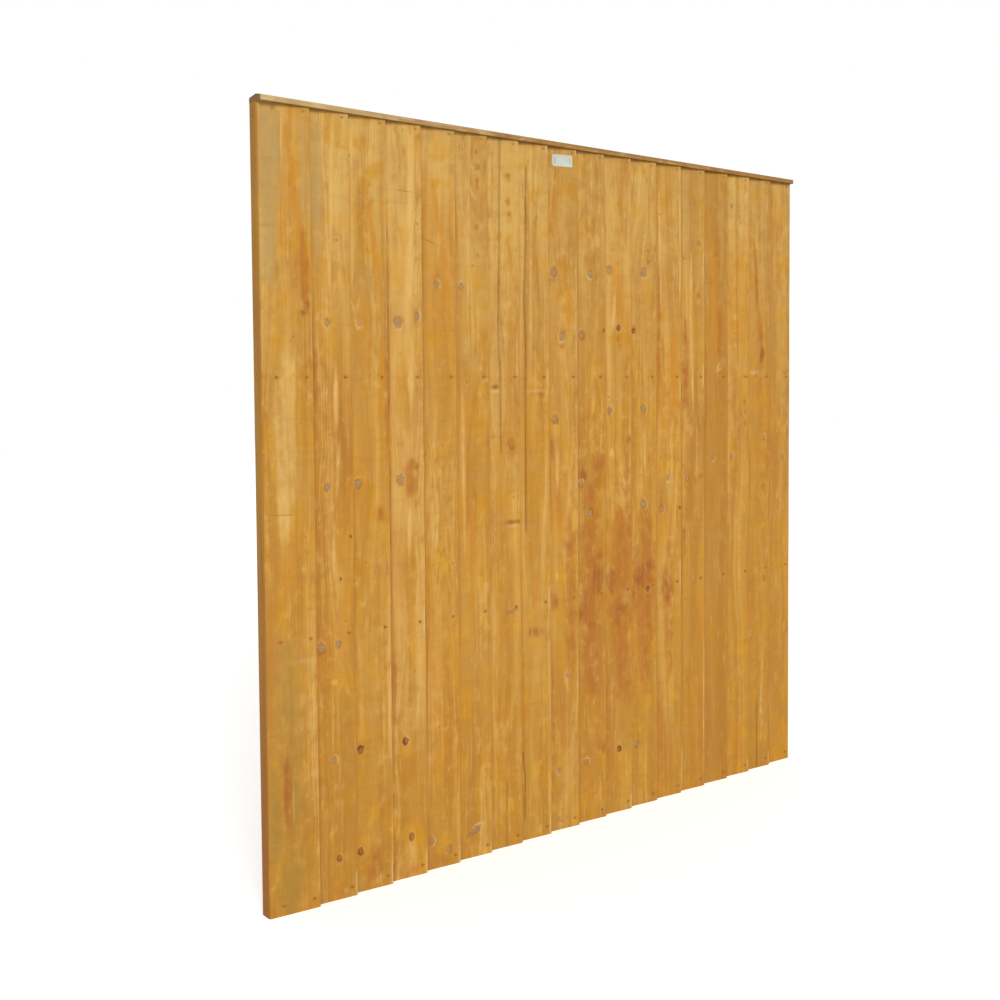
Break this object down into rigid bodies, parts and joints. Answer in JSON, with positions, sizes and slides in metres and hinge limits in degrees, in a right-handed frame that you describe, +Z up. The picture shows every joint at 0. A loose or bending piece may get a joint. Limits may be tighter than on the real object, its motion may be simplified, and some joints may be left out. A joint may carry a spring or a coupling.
{
  "type": "closeboard fence panel",
  "caption": "Square closeboard fence panel: overlapping tapered boards nailed upright to a frame of rails, under a weathered capping rail.",
  "frame": {"origin": "middle of the panel's foot, halfway through its whole depth", "axes": "+Z up, +X to the right as seen from the boarded front, which faces -Y"},
  "size_m": [1.83, 0.0514, 1.83],
  "materials": {
    "board_wood": "golden-brown dip stain on sawn softwood",
    "frame_wood": "brown dip stain on sawn softwood",
    "cap_wood": "golden-brown dip stain on sawn softwood",
    "nail_steel": "dark, dulled by stain",
    "brad_steel": "dull grey"
  },
  "bodies": {
    "root": {"board_01": "board_wood", "board_02": "board_wood", "board_03": "board_wood", "board_04": "board_wood", "board_05": "board_wood", "board_06": "board_wood", "board_07": "board_wood", "board_08": "board_wood", "board_09": "board_wood", "board_10": "board_wood", "board_11": "board_wood", "board_12": "board_wood", "board_13": "board_wood", "board_14": "board_wood", "board_15": "board_wood", "board_16": "board_wood", "board_17": "board_wood", "board_18": "board_wood", "upright_left": "frame_wood", "upright_right": "frame_wood", "bottom_rail": "frame_wood", "lower_rail": "frame_wood", "upper_rail": "frame_wood", "top_rail": "frame_wood", "capping_rail": "cap_wood", "board_nails": "nail_steel", "frame_nails": "brad_steel", "cap_nails": "brad_steel"}
  },
  "joints": []
}
